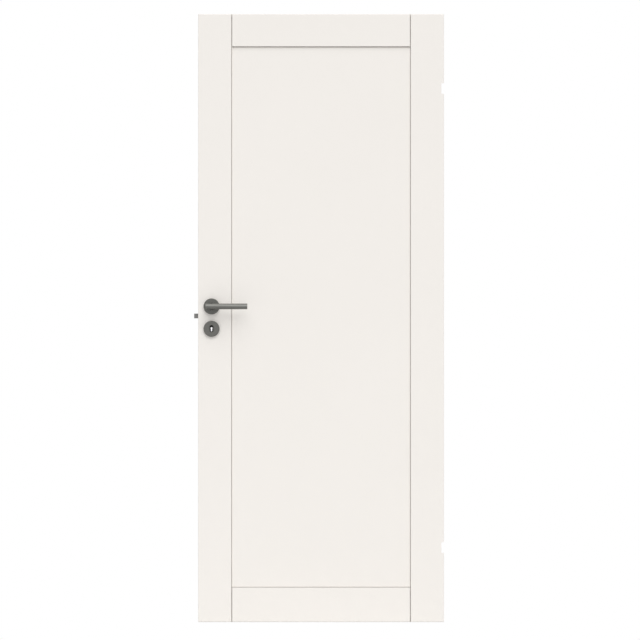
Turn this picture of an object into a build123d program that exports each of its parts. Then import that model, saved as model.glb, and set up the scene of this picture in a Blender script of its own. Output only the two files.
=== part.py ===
from build123d import *
import math
import os

# Interior door leaf: a stile-and-rail frame round one recessed panel, with a mortise lock, a lever
# handle on round roses and two notches for the hinges. Millimetres, +Z up. The origin lies on the
# hinge edge, in the middle of the leaf's thickness and level with its lower end. The front faces -Y,
# and the lock edge lies at -X.

# Leaf
leaf_width = 825.0
leaf_height = 2040.0
leaf_thickness = 40.0
stile_width = 111.6
top_rail_height = 108.6
bottom_rail_height = 116.0
panel_thickness = 24.5
edge_radius = 2.5
arris_radius = 1.1

# Grooves in the frame, which take the panel's tongue and the rails' stub tenons
tongue_thickness = 10.0
groove_depth = 12.0
groove_play = 0.1
groove_end_room = 1.0

# Shadow gaps, round the panel's field, wider at its top, and where a rail meets a stile
panel_gap = 1.5
panel_top_gap = 3.0
joint_gap = 2.5
joint_gap_depth = 12.0

# Hinge notches, each in the middle of a routed bed for a hinge plate
hinge_inset = 250.0
notch_height = 35.0
notch_depth = 8.5
hinge_bed_height = 110.0
hinge_bed_width = 26.0
hinge_bed_depth = 2.5
hinge_screw_radius = 2.0
hinge_screw_depth = 30.0
hinge_screw_rise = 84.0

# Places of the lock's axes
handle_height = 1059.0
backset = 45.0
key_drop = 75.0
latch_drop = 32.0

# Lock box and faceplate
faceplate_overlap = 17.0
faceplate_width = 22.0
faceplate_thickness = 3.0
faceplate_play = 0.1
faceplate_screw_inset = 8.5
faceplate_screw_radius = 2.25
faceplate_countersink_radius = 4.2
case_end_margin = 28.0
case_thickness = 15.0
case_wall = 1.5
mortise_room = 0.5

# Keyhole, with its round part above the middle of the key rose
keyhole_radius = 3.2
keyhole_slot_width = 4.4
keyhole_rise = 2.0
keyhole_slot_drop = 8.3

# Latch bolt and the plate that draws it back
latch_height = 16.0
latch_thickness = 11.0
latch_reach = 13.3
latch_length = 38.0
latch_bevel_length = 12.0
latch_tip_thickness = 2.5
latch_bevel_bulge = 0.8
latch_play = 0.3
latch_travel = 13.0
carriage_thickness = 4.0
carriage_width = 6.0
carriage_hub_room = 2.0
carriage_end_room = 2.0
carriage_tail_height = 10.0
carriage_tail_seat = 10.0
carriage_play = 0.05

# Dead bolt, drawn back until it is flush with the faceplate, with a tail above the keyhole
bolt_height = 28.0
bolt_thickness = 9.0
bolt_length = 32.0
bolt_setback = 0.4
bolt_rise = 4.0
bolt_play = 0.3
bolt_tail_length = 14.0
bolt_tail_lift = 3.0
bolt_talon_width = 8.0
bolt_talon_depth = 4.5

# Follower and spindle
lever_turn = 45.0
spindle_width = 8.0
spindle_length = 110.0
spindle_play = 0.1
spindle_end_chamfer = 0.8
follower_radius = 9.0
journal_radius = 7.5
journal_play = 0.3
follower_side_play = 0.3
arm_tip_radius = 3.5
arm_width = 4.0
arm_play = 0.3
lug_overlap = 2.0

# Lever, a straight round bar across the end of a round neck, with a grub screw hole below
bar_radius = 9.6
bar_length = 141.0
bar_overhang = 21.0
bar_end_chamfer = 0.8
bar_distance = 48.0
neck_radius = 9.0
neck_lift = 1.5
grub_hole_radius = 2.6
grub_hole_distance = 19.0

# Roses
rose_radius = 26.8
rose_thickness = 9.0
rose_edge_chamfer = 0.6
bush_wall = 2.2
bush_rim = 0.8
bush_play = 0.05
neck_play = 0.25
key_slot_height = 23.5
key_slot_width = 11.5
key_slot_chamfer = 0.8
key_bore_margin = 2.5
handle_bore_margin = 1.0

# Derived places
face = leaf_thickness / 2
lock_edge = -leaf_width
lock_stile_inner = lock_edge + stile_width
hinge_stile_inner = -stile_width
top_rail_lower = leaf_height - top_rail_height
hinge_heights = [hinge_inset, leaf_height - hinge_inset]
groove_width = tongue_thickness + 2 * groove_play
tongue = groove_depth - groove_end_room
spindle_x = lock_edge + backset
key_height = handle_height - key_drop
latch_height_above_floor = handle_height - latch_drop
bolt_height_above_floor = key_height + bolt_rise
lock_middle = handle_height - key_drop / 2
case_height = key_drop + 2 * case_end_margin
faceplate_height = case_height + 2 * faceplate_overlap
case_front = lock_edge + faceplate_thickness
follower_to_case_end = follower_radius + carriage_hub_room + carriage_width + latch_travel + carriage_end_room
case_depth = backset - faceplate_thickness + follower_to_case_end + case_wall
bar_axis = face + bar_distance
half_turn = math.radians(lever_turn / 2)
arm_length = latch_travel / (2 * math.sin(half_turn))
bush_inner_radius = neck_radius + neck_play
bush_outer_radius = bush_inner_radius + bush_wall
handle_bore_radius = neck_radius + handle_bore_margin


# Helpers

def block(x0, x1, y0, y1, z0, z1):
    """A box between two opposite corners."""
    return Pos((x0 + x1) / 2, (y0 + y1) / 2, (z0 + z1) / 2) * Box(x1 - x0, y1 - y0, z1 - z0)


def through(sketch, x, z, y0, y1):
    """A prism that runs through the leaf from y0 to y1, with its outline in X and Z."""
    return Pos(x, (y0 + y1) / 2, z) * extrude(Plane.XZ * sketch, (y1 - y0) / 2, both=True)


def into_edge(sketch, x, z, depth):
    """A prism that runs from x along +X, with its outline in Y and Z."""
    return Pos(x, 0, z) * extrude(Plane.YZ * sketch, depth)


def rounded_board(x0, x1, z0, z1, radius):
    """A board at full thickness, with the arrises of both faces rounded."""
    plain = block(x0, x1, -face, face, z0, z1)
    return fillet(plain.faces().filter_by(Axis.Y).edges(), radius)


def board(x0, x1, z0, z1):
    """A piece of the frame, rounded more along the leaf's outer edges than inside."""
    leaf_outline = rounded_board(lock_edge, 0, 0, leaf_height, edge_radius)
    return rounded_board(x0, x1, z0, z1, arris_radius) & leaf_outline


def upright_slot(height, width):
    """A slot outline with round ends, longer side upright."""
    return SlotOverall(height, width, rotation=90)


def keyhole_outline():
    """A round hole with a slot below it, about the key axis."""
    round_part = Pos(0, keyhole_rise) * Circle(keyhole_radius)
    slot_length = keyhole_rise + keyhole_slot_drop
    slot = Pos(0, keyhole_rise - slot_length / 2) * Rectangle(keyhole_slot_width, slot_length)
    return round_part + slot


# Frame and panel

def stile_groove(x0, x1):
    """The groove in a stile's inner edge, open at both ends."""
    return block(x0, x1, -groove_width / 2, groove_width / 2, 0, leaf_height)


def make_lock_stile():
    stile = board(lock_edge, lock_stile_inner, 0, leaf_height)
    stile -= stile_groove(lock_stile_inner - groove_depth, lock_stile_inner)
    rebate = upright_slot(faceplate_height + 2 * faceplate_play, faceplate_width + 2 * faceplate_play)
    stile -= into_edge(rebate, lock_edge, lock_middle, faceplate_thickness)
    mortise = Rectangle(case_thickness + 2 * mortise_room, case_height + 2 * mortise_room)
    stile -= into_edge(mortise, case_front, lock_middle, case_depth + mortise_room)
    stile -= through(Circle(handle_bore_radius), spindle_x, handle_height, -face, face)
    key_bore = upright_slot(key_slot_height + 2 * key_bore_margin, key_slot_width + 2 * key_bore_margin)
    stile -= through(key_bore, spindle_x, key_height, -face, face)
    return stile


def make_hinge_stile():
    stile = board(hinge_stile_inner, 0, 0, leaf_height)
    stile -= stile_groove(hinge_stile_inner, hinge_stile_inner + groove_depth)
    bed = Rectangle(hinge_bed_width, hinge_bed_height)
    for height in hinge_heights:
        stile -= block(-notch_depth, 0, -face, face, height - notch_height / 2, height + notch_height / 2)
        stile -= into_edge(bed, -hinge_bed_depth, height, hinge_bed_depth)
        for end in (-1, 1):
            screw_height = height + end * hinge_screw_rise / 2
            screw_end = -hinge_bed_depth - hinge_screw_depth
            stile -= into_edge(Circle(hinge_screw_radius), screw_end, screw_height, hinge_screw_depth)
    return stile


def make_rail(z0, z1, groove_low, groove_high, tenon_low, tenon_high):
    """A rail between the stiles, grooved along the panel, with a shoulder and a stub tenon at each end."""
    rail = board(lock_stile_inner + joint_gap, hinge_stile_inner - joint_gap, z0, z1)
    shoulder = face - joint_gap_depth
    rail += block(lock_stile_inner, hinge_stile_inner, -shoulder, shoulder, z0, z1)
    tenon_ends = [lock_stile_inner - tongue, hinge_stile_inner + tongue]
    rail += block(*tenon_ends, -tongue_thickness / 2, tongue_thickness / 2, tenon_low, tenon_high)
    rail -= block(*tenon_ends, -groove_width / 2, groove_width / 2, groove_low, groove_high)
    return rail


def make_top_rail():
    groove_floor = top_rail_lower + groove_depth
    return make_rail(top_rail_lower, leaf_height, top_rail_lower, groove_floor, groove_floor, leaf_height)


def make_bottom_rail():
    groove_floor = bottom_rail_height - groove_depth
    return make_rail(0, bottom_rail_height, groove_floor, bottom_rail_height, 0, groove_floor)


def panel_board(overlap, top_overlap, thickness):
    """A board that reaches past the frame's inner edges by the overlap, and at the top by its own."""
    return block(
        lock_stile_inner - overlap, hinge_stile_inner + overlap,
        -thickness / 2, thickness / 2,
        bottom_rail_height - overlap, top_rail_lower + top_overlap,
    )


def make_panel():
    """The panel's field, set a little inside the frame, on a thinner tongue that stands in the grooves."""
    field = panel_board(-panel_gap, -panel_top_gap, panel_thickness)
    return field + panel_board(tongue, tongue, tongue_thickness)


# Lock

def latch_slot():
    """The opening that the latch bolt slides in."""
    return Rectangle(latch_thickness + 2 * latch_play, latch_height + 2 * latch_play)


def bolt_slot():
    """The opening that the dead bolt slides in."""
    return Rectangle(bolt_thickness + 2 * bolt_play, bolt_height + 2 * bolt_play)


def make_lock_faceplate():
    outline = upright_slot(faceplate_height, faceplate_width)
    plate = into_edge(outline, lock_edge, lock_middle, faceplate_thickness)
    plate -= into_edge(latch_slot(), lock_edge, latch_height_above_floor, faceplate_thickness)
    plate -= into_edge(bolt_slot(), lock_edge, bolt_height_above_floor, faceplate_thickness)
    sink_depth = faceplate_countersink_radius - faceplate_screw_radius
    for end in (-1, 1):
        screw_height = lock_middle + end * (faceplate_height / 2 - faceplate_screw_inset)
        plate -= into_edge(Circle(faceplate_screw_radius), lock_edge, screw_height, faceplate_thickness)
        sink = Cone(faceplate_countersink_radius, faceplate_screw_radius, sink_depth, rotation=(0, 90, 0))
        plate -= Pos(lock_edge + sink_depth / 2, 0, screw_height) * sink
    return plate


def case_side_holes(y0, y1):
    """The round hole of the follower and the keyhole, through one side of the lock box."""
    hub_hole = through(Circle(journal_radius + journal_play), spindle_x, handle_height, y0, y1)
    return hub_hole + through(keyhole_outline(), spindle_x, key_height, y0, y1)


def make_lock_case():
    side = case_thickness / 2
    case_low = lock_middle - case_height / 2
    case_high = lock_middle + case_height / 2
    case_end = case_front + case_depth
    case = block(case_front, case_end, -side, side - case_wall, case_low, case_high)
    case -= block(
        case_front + case_wall, case_end - case_wall,
        -side + case_wall, side - case_wall,
        case_low + case_wall, case_high - case_wall,
    )
    case -= into_edge(latch_slot(), case_front, latch_height_above_floor, case_wall)
    case -= into_edge(bolt_slot(), case_front, bolt_height_above_floor, case_wall)
    return case - case_side_holes(-side, -side + case_wall)


def make_lock_case_cover():
    side = case_thickness / 2
    cover = block(
        case_front, case_front + case_depth,
        side - case_wall, side,
        lock_middle - case_height / 2, lock_middle + case_height / 2,
    )
    return cover - case_side_holes(side - case_wall, side)


def make_latch_bolt():
    """The bolt, flat in front and bevelled behind, with a slot for the plate that draws it back."""
    tip = lock_edge - latch_reach
    back = tip + latch_length
    half = latch_thickness / 2
    bevel_start = (tip, latch_tip_thickness - half)
    bevel_end = (tip + latch_bevel_length, half)
    sides = Polyline(bevel_end, (back, half), (back, -half), (tip, -half), bevel_start)
    bevel = SagittaArc(bevel_start, bevel_end, latch_bevel_bulge)
    bolt = extrude(make_face(sides + bevel), latch_height / 2, both=True)
    seat_half = carriage_thickness / 2 + carriage_play
    tail_half = carriage_tail_height / 2 + carriage_play
    bolt -= block(back - carriage_tail_seat, back, -seat_half, seat_half, -tail_half, tail_half)
    return Pos(0, 0, latch_height_above_floor) * bolt


def make_latch_carriage():
    """A plate from the bolt round the follower to the lug that the follower's arm presses on."""
    tail_start = lock_edge - latch_reach + latch_length - carriage_tail_seat - spindle_x
    tail_high = carriage_tail_height / 2 - latch_drop
    tail_low = -carriage_tail_height / 2 - latch_drop
    limb_near = follower_radius + carriage_hub_room
    limb_far = limb_near + carriage_width
    lug_face = arm_tip_radius + arm_play - latch_travel / 2
    lug_low = arm_length * math.cos(half_turn) - lug_overlap
    lug_high = arm_length + arm_tip_radius
    outline = Polyline(
        (tail_start, tail_low), (limb_far, tail_low), (limb_far, lug_high), (lug_face, lug_high),
        (lug_face, lug_low), (limb_near, lug_low), (limb_near, tail_high), (tail_start, tail_high),
        close=True,
    )
    half = carriage_thickness / 2
    return through(make_face(outline), spindle_x, handle_height, -half, half)


def make_dead_bolt():
    """A bolt with a thinner tail over the keyhole, notched where the key's bit turns."""
    tip = lock_edge + bolt_setback
    bolt = into_edge(Rectangle(bolt_thickness, bolt_height), tip, bolt_height_above_floor, bolt_length)
    tail_low = key_height + keyhole_rise + keyhole_radius + bolt_tail_lift
    tail_high = bolt_height_above_floor + bolt_height / 2
    tail_end = spindle_x + bolt_tail_length
    half = carriage_thickness / 2
    bolt += block(tip, tail_end, -half, half, tail_low, tail_high)
    talon = Rectangle(bolt_talon_width, 2 * bolt_talon_depth)
    return bolt - through(talon, spindle_x, tail_low, -half, half)


def make_follower():
    """The lock's hub, with a square hole for the spindle and an arm that leans back at rest."""
    side = case_thickness / 2
    hub_side = side - case_wall - follower_side_play
    hub = through(Circle(follower_radius), 0, 0, -hub_side, hub_side)
    hub += through(Circle(journal_radius), 0, 0, -side, side)
    arm = Pos(0, arm_length / 2) * Rectangle(arm_width, arm_length)
    arm += Pos(0, arm_length) * Circle(arm_tip_radius)
    arm = Rot(0, 0, lever_turn / 2) * arm
    hub += through(arm, 0, 0, -carriage_thickness / 2, carriage_thickness / 2)
    square = spindle_width + 2 * spindle_play
    hub -= through(Rectangle(square, square), 0, 0, -side, side)
    return Pos(spindle_x, 0, handle_height) * hub


def make_spindle():
    bar = Box(spindle_width, spindle_length, spindle_width)
    bar = chamfer(bar.faces().filter_by(Axis.Y).edges(), spindle_end_chamfer)
    return Pos(spindle_x, 0, handle_height) * bar


# Lever and roses of the front, mirrored for the back

def make_lever_bar():
    bar = Cylinder(bar_radius, bar_length, rotation=(0, 90, 0))
    bar = chamfer(bar.edges().filter_by(GeomType.CIRCLE), bar_end_chamfer)
    return Pos(spindle_x - bar_overhang + bar_length / 2, -bar_axis, handle_height) * bar


def make_lever_neck():
    """The neck, hollowed to sit on the bar, with a spindle socket and the hole of a grub screw."""
    neck = through(Circle(neck_radius), spindle_x, handle_height, -bar_axis, -face - neck_lift)
    bar = Cylinder(bar_radius, bar_length, rotation=(0, 90, 0))
    neck -= Pos(spindle_x, -bar_axis, handle_height) * bar
    square = spindle_width + 2 * spindle_play
    socket = Rectangle(square, square)
    neck -= through(socket, spindle_x, handle_height, -spindle_length / 2 - spindle_play, -face)
    grub_hole = Cylinder(grub_hole_radius, neck_radius, align=(Align.CENTER, Align.CENTER, Align.MAX))
    return neck - Pos(spindle_x, -face - grub_hole_distance, handle_height) * grub_hole


def rose_disc():
    """A round rose on the front face, with its outer edge chamfered."""
    disc = through(Circle(rose_radius), 0, 0, -face - rose_thickness, -face)
    rim = disc.faces().sort_by(Axis.Y)[0].edges()
    return chamfer(rim, rose_edge_chamfer)


def make_rose():
    rose = Pos(spindle_x, 0, handle_height) * rose_disc()
    hole = Circle(bush_outer_radius + bush_play)
    return rose - through(hole, spindle_x, handle_height, -face - rose_thickness, -face)


def make_neck_bush():
    ring = Circle(bush_outer_radius) - Circle(bush_inner_radius)
    return through(ring, spindle_x, handle_height, -face - rose_thickness - bush_rim, -face)


def make_key_rose():
    """The rose round the keyhole, with the rim of its oval opening chamfered."""
    slot = upright_slot(key_slot_height, key_slot_width)
    rose = rose_disc() - through(slot, 0, 0, -face - rose_thickness, -face)
    rim = rose.faces().sort_by(Axis.Y)[0].inner_wires()[0].edges()
    return Pos(spindle_x, 0, key_height) * chamfer(rim, key_slot_chamfer)


pieces = {
    "lock_stile": make_lock_stile(),
    "hinge_stile": make_hinge_stile(),
    "top_rail": make_top_rail(),
    "bottom_rail": make_bottom_rail(),
    "panel": make_panel(),
    "lock_faceplate": make_lock_faceplate(),
    "lock_case": make_lock_case(),
    "lock_case_cover": make_lock_case_cover(),
    "latch_bolt": make_latch_bolt(),
    "latch_carriage": make_latch_carriage(),
    "dead_bolt": make_dead_bolt(),
    "follower": make_follower(),
    "spindle": make_spindle(),
}

handed_pieces = {
    "lever_bar": make_lever_bar(),
    "lever_neck": make_lever_neck(),
    "rose": make_rose(),
    "neck_bush": make_neck_bush(),
    "key_rose": make_key_rose(),
}

for name, front_piece in handed_pieces.items():
    pieces["front_" + name] = front_piece
    pieces["back_" + name] = mirror(front_piece, about=Plane.XZ)

os.makedirs("parts", exist_ok=True)
for name, piece in pieces.items():
    export_step(piece, f"parts/{name}.step")
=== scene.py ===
import math
import bmesh
import bpy
from mathutils import Matrix, Vector


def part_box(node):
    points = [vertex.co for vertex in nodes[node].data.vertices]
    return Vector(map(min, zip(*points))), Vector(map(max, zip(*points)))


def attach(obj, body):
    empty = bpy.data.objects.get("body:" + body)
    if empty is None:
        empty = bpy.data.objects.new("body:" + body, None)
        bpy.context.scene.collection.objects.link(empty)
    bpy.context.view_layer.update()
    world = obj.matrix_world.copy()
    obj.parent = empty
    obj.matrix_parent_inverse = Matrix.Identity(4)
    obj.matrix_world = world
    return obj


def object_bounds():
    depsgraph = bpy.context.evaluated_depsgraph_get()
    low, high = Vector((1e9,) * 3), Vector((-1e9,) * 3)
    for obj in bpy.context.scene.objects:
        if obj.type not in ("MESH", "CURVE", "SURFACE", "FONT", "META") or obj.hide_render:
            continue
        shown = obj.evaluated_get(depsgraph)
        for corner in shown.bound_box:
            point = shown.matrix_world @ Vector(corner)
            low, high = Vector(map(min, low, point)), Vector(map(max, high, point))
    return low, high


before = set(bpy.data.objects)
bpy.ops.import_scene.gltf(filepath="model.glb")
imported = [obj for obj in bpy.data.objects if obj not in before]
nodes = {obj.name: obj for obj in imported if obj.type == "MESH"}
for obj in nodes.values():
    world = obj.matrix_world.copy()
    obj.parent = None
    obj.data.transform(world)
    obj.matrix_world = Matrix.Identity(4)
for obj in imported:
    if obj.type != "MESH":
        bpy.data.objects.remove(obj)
cad_low, cad_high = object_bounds()
scene = bpy.context.scene
scene.view_settings.view_transform = "Standard"

# Framing of the photograph, in its 640 x 640 pixels: the middle of the leaf's width, its top and its bottom
PHOTO_SIZE = 640
LEAF_MIDDLE_PX = 321.05
LEAF_TOP_PX = 14.05
LEAF_BOTTOM_PX = 622.0

leaf_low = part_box("lock_stile")[0]
leaf_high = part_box("hinge_stile")[1]
metres_per_px = (leaf_high.z - leaf_low.z) / (LEAF_BOTTOM_PX - LEAF_TOP_PX)


def middle(node):
    """The middle of a node's box at rest."""
    low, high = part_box(node)
    return (low + high) / 2


# Camera, square to the front face

CAMERA_DISTANCE = 6.0


def add_camera():
    data = bpy.data.cameras.new("camera")
    data.type = "ORTHO"
    data.ortho_scale = PHOTO_SIZE * metres_per_px
    camera = bpy.data.objects.new("camera", data)
    scene.collection.objects.link(camera)
    centre_px = PHOTO_SIZE / 2
    camera.location = (
        (leaf_low.x + leaf_high.x) / 2 + (centre_px - LEAF_MIDDLE_PX) * metres_per_px,
        -CAMERA_DISTANCE,
        leaf_high.z - (centre_px - LEAF_TOP_PX) * metres_per_px,
    )
    camera.rotation_euler = (math.radians(90), 0, 0)
    scene.camera = camera


# Light: a soft, even sky, a broad lamp from above the viewer and a fainter one from behind the leaf

SKY_STRENGTH = 0.51
FRONT_LAMP_STRENGTH = 1.65
FRONT_LAMP_FROM = Vector((0.14, -1.0, 1.12))
BACK_LAMP_STRENGTH = 0.9
BACK_LAMP_FROM = Vector((-0.14, 1.0, 0.27))
LAMP_SPREAD = math.radians(55)
FLOOR_COLOUR = (0.80, 0.80, 0.80, 1)
FLOOR_ROUGHNESS = 0.9
FLOOR_HALF = 20.0
FLOOR_DROP = 0.0005


def seen_rays(tree):
    """One where a ray comes from the eye or from a reflection, and zero where it only carries light."""
    paths = tree.nodes.new("ShaderNodeLightPath")
    total = paths.outputs["Is Camera Ray"]
    for name in ("Is Glossy Ray", "Is Transmission Ray"):
        either = tree.nodes.new("ShaderNodeMath")
        either.operation = "MAXIMUM"
        tree.links.new(total, either.inputs[0])
        tree.links.new(paths.outputs[name], either.inputs[1])
        total = either.outputs[0]
    return total


def add_world():
    """White to the eye and in reflections, and a milder sky as a light."""
    world = bpy.data.worlds.new("studio")
    scene.world = world
    world.use_nodes = True
    tree = world.node_tree
    tree.nodes.clear()
    sky = tree.nodes.new("ShaderNodeBackground")
    sky.inputs["Strength"].default_value = SKY_STRENGTH
    white = tree.nodes.new("ShaderNodeBackground")
    white.inputs["Strength"].default_value = 1.0
    for background in (sky, white):
        background.inputs["Color"].default_value = (1, 1, 1, 1)
    mix = tree.nodes.new("ShaderNodeMixShader")
    tree.links.new(seen_rays(tree), mix.inputs["Fac"])
    tree.links.new(sky.outputs[0], mix.inputs[1])
    tree.links.new(white.outputs[0], mix.inputs[2])
    out = tree.nodes.new("ShaderNodeOutputWorld")
    tree.links.new(mix.outputs[0], out.inputs["Surface"])


def add_lamp(name, strength, shines_from):
    data = bpy.data.lights.new(name, "SUN")
    data.energy = strength
    data.angle = LAMP_SPREAD
    lamp = bpy.data.objects.new(name, data)
    lamp.rotation_mode = "QUATERNION"
    lamp.rotation_quaternion = (-shines_from).to_track_quat("-Z", "Y")
    scene.collection.objects.link(lamp)


def add_floor():
    """A plain pale floor under the leaf."""
    mesh = bpy.data.meshes.new("floor")
    corners = [(-FLOOR_HALF, -FLOOR_HALF, 0), (FLOOR_HALF, -FLOOR_HALF, 0)]
    corners += [(FLOOR_HALF, FLOOR_HALF, 0), (-FLOOR_HALF, FLOOR_HALF, 0)]
    mesh.from_pydata(corners, [], [(0, 1, 2, 3)])
    floor = bpy.data.objects.new("floor", mesh)
    floor.location = (0, 0, cad_low.z - FLOOR_DROP)
    scene.collection.objects.link(floor)
    material, _, shader = new_material("floor")
    shader.inputs["Base Color"].default_value = FLOOR_COLOUR
    shader.inputs["Roughness"].default_value = FLOOR_ROUGHNESS
    floor.data.materials.append(material)


# Material helpers

# Most of a noise's values lie between these
NOISE_LOW = 0.3
NOISE_HIGH = 0.7


def new_material(name):
    material = bpy.data.materials.new(name)
    material.use_nodes = True
    tree = material.node_tree
    shader = tree.nodes["Principled BSDF"]
    return material, tree, shader


def noise(tree, scale, detail=3.0, stretch=(1, 1, 1)):
    """Noise in the object's own metres, stretched along its axes."""
    coords = tree.nodes.new("ShaderNodeTexCoord")
    mapping = tree.nodes.new("ShaderNodeMapping")
    mapping.inputs["Scale"].default_value = stretch
    texture = tree.nodes.new("ShaderNodeTexNoise")
    texture.inputs["Scale"].default_value = scale
    texture.inputs["Detail"].default_value = detail
    tree.links.new(coords.outputs["Object"], mapping.inputs["Vector"])
    tree.links.new(mapping.outputs["Vector"], texture.inputs["Vector"])
    return texture.outputs["Fac"]


def rings(tree, centre, scale, detail=3.0):
    """Noise by the distance from an axis along Y through the centre, as turned metal has."""
    coords = tree.nodes.new("ShaderNodeTexCoord")
    offset = tree.nodes.new("ShaderNodeVectorMath")
    offset.operation = "SUBTRACT"
    offset.inputs[1].default_value = centre
    tree.links.new(coords.outputs["Object"], offset.inputs[0])
    level = tree.nodes.new("ShaderNodeVectorMath")
    level.operation = "MULTIPLY"
    level.inputs[1].default_value = (1, 0, 1)
    tree.links.new(offset.outputs[0], level.inputs[0])
    radius = tree.nodes.new("ShaderNodeVectorMath")
    radius.operation = "LENGTH"
    tree.links.new(level.outputs[0], radius.inputs[0])
    texture = tree.nodes.new("ShaderNodeTexNoise")
    texture.noise_dimensions = "1D"
    texture.inputs["Scale"].default_value = scale
    texture.inputs["Detail"].default_value = detail
    tree.links.new(radius.outputs["Value"], texture.inputs["W"])
    return texture.outputs["Fac"]


def spread(tree, value, low, high):
    """Maps the middle of a noise to a range of numbers."""
    node = tree.nodes.new("ShaderNodeMapRange")
    node.inputs["From Min"].default_value = NOISE_LOW
    node.inputs["From Max"].default_value = NOISE_HIGH
    node.inputs["To Min"].default_value = low
    node.inputs["To Max"].default_value = high
    tree.links.new(value, node.inputs["Value"])
    return node.outputs["Result"]


def tint(tree, value, dark, light):
    """A colour between two, by a noise."""
    ramp = tree.nodes.new("ShaderNodeValToRGB")
    ramp.color_ramp.elements[0].position = NOISE_LOW
    ramp.color_ramp.elements[0].color = (*dark, 1)
    ramp.color_ramp.elements[1].position = NOISE_HIGH
    ramp.color_ramp.elements[1].color = (*light, 1)
    tree.links.new(value, ramp.inputs["Fac"])
    return ramp.outputs["Color"]


def bump(tree, shader, *layers):
    """Stacks bumps, each a height between zero and one with its depth in metres."""
    normal = None
    for height, depth in layers:
        node = tree.nodes.new("ShaderNodeBump")
        node.inputs["Distance"].default_value = depth
        tree.links.new(height, node.inputs["Height"])
        if normal:
            tree.links.new(normal, node.inputs["Normal"])
        normal = node.outputs["Normal"]
    tree.links.new(normal, shader.inputs["Normal"])


def use(material, names):
    for name in names:
        nodes[name].data.materials.clear()
        nodes[name].data.materials.append(material)


# Materials: the scales are in waves a metre, and the depths of the bumps in metres

PAINT_LIGHT = (0.889, 0.855, 0.813)
PAINT_DARK = (0.880, 0.846, 0.804)
PAINT_ROUGHNESS = (0.40, 0.48)
PAINT_CLOUD_SCALE = 2.5
PAINT_GLOSS_SCALE = 60.0
GRAIN_SCALE = 260.0
GRAIN_DETAIL = 4.0
GRAIN_STRETCH = 0.02
GRAIN_DEPTH = 0.00002
PEEL_SCALE = 420.0
PEEL_DETAIL = 2.0
PEEL_DEPTH = 0.00003


def paint_material(name, along):
    """Satin paint with a fine spray texture and the faint grain of the wood under it."""
    material, tree, shader = new_material(name)
    grain_stretch = [GRAIN_STRETCH if axis == along else 1.0 for axis in "xyz"]
    grain = noise(tree, GRAIN_SCALE, GRAIN_DETAIL, grain_stretch)
    peel = noise(tree, PEEL_SCALE, PEEL_DETAIL)
    cloud = noise(tree, PAINT_CLOUD_SCALE)
    gloss = noise(tree, PAINT_GLOSS_SCALE)
    tree.links.new(tint(tree, cloud, PAINT_DARK, PAINT_LIGHT), shader.inputs["Base Color"])
    tree.links.new(spread(tree, gloss, *PAINT_ROUGHNESS), shader.inputs["Roughness"])
    bump(tree, shader, (grain, GRAIN_DEPTH), (peel, PEEL_DEPTH))
    return material


# Each metal's darker and lighter tint, and its range of roughness
ROSE_METAL = ((0.128, 0.127, 0.118), (0.166, 0.165, 0.154), (0.36, 0.48))
# The lever is the same metal as the roses. Its roughness range is real, but its lighter tints are a painted
# highlight that makes the bar and neck read brighter.
LEVER_METAL_PAINTED_LIGHTER = ((0.156, 0.155, 0.145), (0.204, 0.203, 0.190), (0.46, 0.58))
LOCK_STEEL = ((0.180, 0.177, 0.173), (0.230, 0.226, 0.220), (0.34, 0.46))
BRUSH_STRETCH = 0.01
BRUSH_SCALE = 400.0
BRUSH_DETAIL = 3.0
FINE_BRUSH_SCALE = 2200.0
FINE_BRUSH_DETAIL = 2.0
RING_SCALE = 500.0
FINE_RING_SCALE = 2600.0
BRUSH_DEPTH = 0.000008
FINE_BRUSH_DEPTH = 0.000006


def brushed_material(name, lines, fine_lines, metal):
    """Brushed metal; lines and fine_lines make the brush marks in a node tree."""
    material, tree, shader = new_material(name)
    shader.inputs["Metallic"].default_value = 1.0
    dark, light, roughness = metal
    broad = lines(tree)
    fine = fine_lines(tree)
    tree.links.new(tint(tree, broad, dark, light), shader.inputs["Base Color"])
    tree.links.new(spread(tree, fine, *roughness), shader.inputs["Roughness"])
    bump(tree, shader, (broad, BRUSH_DEPTH), (fine, FINE_BRUSH_DEPTH))
    return material


def straight_brushed(name, stretch, metal):
    return brushed_material(
        name,
        lambda tree: noise(tree, BRUSH_SCALE, BRUSH_DETAIL, stretch),
        lambda tree: noise(tree, FINE_BRUSH_SCALE, FINE_BRUSH_DETAIL, stretch),
        metal,
    )


def turned_brushed(name, centre, metal):
    return brushed_material(
        name,
        lambda tree: rings(tree, centre, RING_SCALE),
        lambda tree: rings(tree, centre, FINE_RING_SCALE),
        metal,
    )


BLACK_LIGHT = (0.022, 0.021, 0.020)
BLACK_DARK = (0.012, 0.012, 0.011)
BLACK_ROUGHNESS = (0.60, 0.75)
BLACK_MOTTLE_SCALE = 350.0
BLACK_GRAIN_SCALE = 1500.0
BLACK_GRAIN_DEPTH = 0.00002


def black_material():
    """The lock box's dull black finish."""
    material, tree, shader = new_material("black_steel")
    mottle = noise(tree, BLACK_MOTTLE_SCALE)
    tree.links.new(tint(tree, mottle, BLACK_DARK, BLACK_LIGHT), shader.inputs["Base Color"])
    tree.links.new(spread(tree, mottle, *BLACK_ROUGHNESS), shader.inputs["Roughness"])
    bump(tree, shader, (noise(tree, BLACK_GRAIN_SCALE), BLACK_GRAIN_DEPTH))
    return material


PLASTIC_LIGHT = (0.034, 0.033, 0.031)
PLASTIC_DARK = (0.026, 0.025, 0.024)
PLASTIC_ROUGHNESS = (0.45, 0.55)
PLASTIC_MOTTLE_SCALE = 500.0
PLASTIC_GLOSS_SCALE = 900.0
PLASTIC_GRAIN_SCALE = 2500.0
PLASTIC_GRAIN_DEPTH = 0.00001


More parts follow.
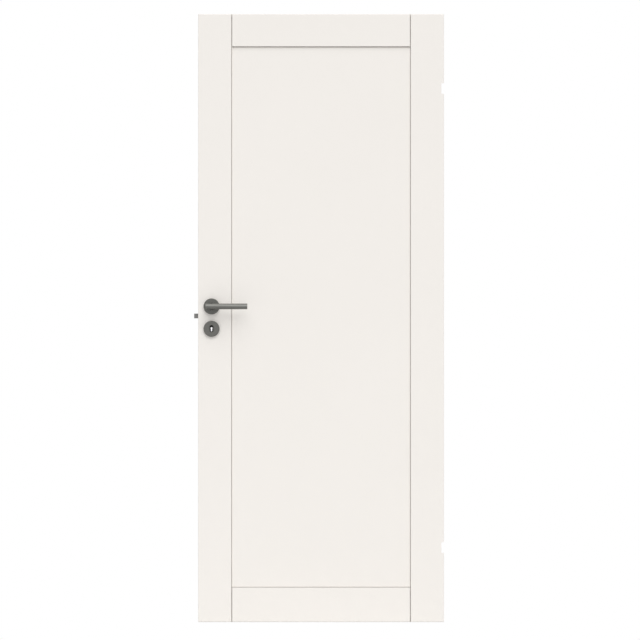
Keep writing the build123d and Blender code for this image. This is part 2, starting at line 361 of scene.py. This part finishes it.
def plastic_material():
    """Moulded dark plastic with a fine grain."""
    material, tree, shader = new_material("bush_plastic")
    mottle = noise(tree, PLASTIC_MOTTLE_SCALE)
    gloss = noise(tree, PLASTIC_GLOSS_SCALE)
    tree.links.new(tint(tree, mottle, PLASTIC_DARK, PLASTIC_LIGHT), shader.inputs["Base Color"])
    tree.links.new(spread(tree, gloss, *PLASTIC_ROUGHNESS), shader.inputs["Roughness"])
    bump(tree, shader, (noise(tree, PLASTIC_GRAIN_SCALE), PLASTIC_GRAIN_DEPTH))
    return material


def dress_nodes():
    use(paint_material("paint_upright", "z"), ["lock_stile", "hinge_stile", "panel"])
    use(paint_material("paint_level", "x"), ["top_rail", "bottom_rail"])
    # The bar and neck use the lighter tints: a painted highlight on the roses' own metal.
    bar = straight_brushed("brushed_bar", (BRUSH_STRETCH, 1, 1), LEVER_METAL_PAINTED_LIGHTER)
    use(bar, ["front_lever_bar", "back_lever_bar"])
    neck = straight_brushed("brushed_neck", (1, BRUSH_STRETCH, 1), LEVER_METAL_PAINTED_LIGHTER)
    use(neck, ["front_lever_neck", "back_lever_neck"])
    rose = turned_brushed("turned_rose", middle("front_rose"), ROSE_METAL)
    use(rose, ["front_rose", "back_rose"])
    key_rose = turned_brushed("turned_key_rose", middle("front_key_rose"), ROSE_METAL)
    use(key_rose, ["front_key_rose", "back_key_rose"])
    steel = straight_brushed("lock_steel", (1, 1, BRUSH_STRETCH), LOCK_STEEL)
    use(steel, ["lock_faceplate", "latch_bolt", "latch_carriage", "dead_bolt", "follower", "spindle"])
    use(black_material(), ["lock_case", "lock_case_cover"])
    use(plastic_material(), ["front_neck_bush", "back_neck_bush"])


# Edges that are sharp in the solids, rounded a little so that they catch the light

EDGE_RADII = {
    "panel": 0.0008, "lock_faceplate": 0.0003, "latch_bolt": 0.0005, "dead_bolt": 0.0004,
    "front_rose": 0.0003, "back_rose": 0.0003, "front_key_rose": 0.0003, "back_key_rose": 0.0003,
    "front_lever_bar": 0.0003, "back_lever_bar": 0.0003, "front_neck_bush": 0.0003, "back_neck_bush": 0.0003,
}
EDGE_STEPS = 3
EDGE_ANGLE = math.radians(40)
FLAT_ANGLE = math.radians(0.5)
WELD_DISTANCE = 0.000001


def round_edges():
    for name, radius in EDGE_RADII.items():
        modifiers = nodes[name].modifiers
        weld = modifiers.new("weld", "WELD")
        weld.merge_threshold = WELD_DISTANCE
        flats = modifiers.new("flats", "DECIMATE")
        flats.decimate_type = "DISSOLVE"
        flats.angle_limit = FLAT_ANGLE
        edges = modifiers.new("edges", "BEVEL")
        edges.width = radius
        edges.segments = EDGE_STEPS
        edges.limit_method = "ANGLE"
        edges.angle_limit = EDGE_ANGLE
        edges.harden_normals = True


# Screws, each turned about its own Z axis, with its head's face at zero

ROUND_STEPS = 48
SCREW_SHARP_ANGLE = math.radians(30)

PLATE_SCREW_INSET = 0.0085
PLATE_SCREW_SINK = 0.00015
# Radius and height of each ring of the turned outline, from the head's face to the tip
PLATE_SCREW_RINGS = [(0.00385, 0), (0.00395, -0.0001), (0.00210, -0.00195), (0.00205, -0.0140), (0, -0.0165)]
PLATE_SCREW_TURNS = {"upper": math.radians(20), "lower": math.radians(65)}
CROSS_REACH = 0.0023
CROSS_WIDTH = 0.0011
CROSS_DEPTH = 0.0014

GRUB_DISTANCE = 0.019
GRUB_SINK = 0.0008
GRUB_RINGS = [(0.0021, 0), (0.0025, -0.0004), (0.0025, -0.0042)]
HEX_RADIUS = 0.00145
HEX_DEPTH = 0.0022
SOCKET_TAPER = 0.75


def cross_outline():
    """The outline of a cross recess, anticlockwise."""
    half = CROSS_WIDTH / 2
    arm = [Vector((CROSS_REACH, -half)), Vector((CROSS_REACH, half)), Vector((half, half))]
    return [Matrix.Rotation(math.radians(90 * turn), 2) @ point for turn in range(4) for point in arm]


def hex_outline():
    angles = [math.radians(60 * corner) for corner in range(6)]
    return [HEX_RADIUS * Vector((math.cos(angle), math.sin(angle))) for angle in angles]


def loop(mesh, points, z):
    """A closed row of corners at one height, with its edges."""
    corners = [mesh.verts.new((point[0], point[1], z)) for point in points]
    edges = [mesh.edges.new((corners[i - 1], corners[i])) for i in range(len(corners))]
    return corners, edges


def wall(mesh, upper, lower):
    """Faces between two rows of corners."""
    for i in range(len(upper)):
        mesh.faces.new((upper[i - 1], upper[i], lower[i], lower[i - 1]))


def add_screw(name, outline, socket, socket_depth, taper, place, body):
    """A turned screw with a recess in its head, ending flat or in a point."""
    mesh = bmesh.new()
    turn = [math.radians(360 * step / ROUND_STEPS) for step in range(ROUND_STEPS)]
    circle = [Vector((math.cos(angle), math.sin(angle))) for angle in turn]
    rim_radius, rim_z = outline[0]
    last, rim_edges = loop(mesh, [rim_radius * point for point in circle], rim_z)
    for radius, z in outline[1:]:
        if radius == 0:
            tip = mesh.verts.new((0, 0, z))
            for i in range(ROUND_STEPS):
                mesh.faces.new((last[i - 1], last[i], tip))
            break
        following, _ = loop(mesh, [radius * point for point in circle], z)
        wall(mesh, last, following)
        last = following
    else:
        mesh.faces.new(last)
    mouth, mouth_edges = loop(mesh, socket, 0)
    seat, _ = loop(mesh, [taper * point for point in socket], -socket_depth)
    wall(mesh, mouth, seat)
    mesh.faces.new(seat)
    bmesh.ops.triangle_fill(mesh, use_beauty=True, edges=rim_edges + mouth_edges)
    bmesh.ops.recalc_face_normals(mesh, faces=mesh.faces)
    for face in mesh.faces:
        face.smooth = True
    data = bpy.data.meshes.new(name)
    mesh.to_mesh(data)
    mesh.free()
    data.set_sharp_from_angle(angle=SCREW_SHARP_ANGLE)
    screw = bpy.data.objects.new(name, data)
    screw.matrix_world = place
    scene.collection.objects.link(screw)
    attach(screw, body)
    return screw


def add_screws():
    steel = straight_brushed("screw_steel", (1, 1, 1), LOCK_STEEL)
    screws = []
    plate_low, plate_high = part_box("lock_faceplate")
    outwards = Matrix.Rotation(math.radians(-90), 4, "Y")
    heights = {"upper": plate_high.z - PLATE_SCREW_INSET, "lower": plate_low.z + PLATE_SCREW_INSET}
    for side, height in heights.items():
        spot = Matrix.Translation((plate_low.x + PLATE_SCREW_SINK, middle("lock_faceplate").y, height))
        turned = Matrix.Rotation(PLATE_SCREW_TURNS[side], 4, "Z")
        screws.append(add_screw(
            f"{side}_faceplate_screw", PLATE_SCREW_RINGS, cross_outline(), CROSS_DEPTH, SOCKET_TAPER,
            spot @ outwards @ turned, "leaf",
        ))
    downwards = Matrix.Rotation(math.radians(180), 4, "X")
    for side, sign in (("front", -1), ("back", 1)):
        neck_low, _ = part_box(f"{side}_lever_neck")
        y = sign * (leaf_high.y + GRUB_DISTANCE)
        spot = Matrix.Translation((middle(f"{side}_lever_neck").x, y, neck_low.z + GRUB_SINK))
        screws.append(add_screw(
            f"{side}_grub_screw", GRUB_RINGS, hex_outline(), HEX_DEPTH, 1.0, spot @ downwards, "lever",
        ))
    for screw in screws:
        screw.data.materials.append(steel)


add_camera()
add_world()
add_lamp("front_lamp", FRONT_LAMP_STRENGTH, FRONT_LAMP_FROM)
add_lamp("back_lamp", BACK_LAMP_STRENGTH, BACK_LAMP_FROM)
add_floor()
dress_nodes()
round_edges()
add_screws()
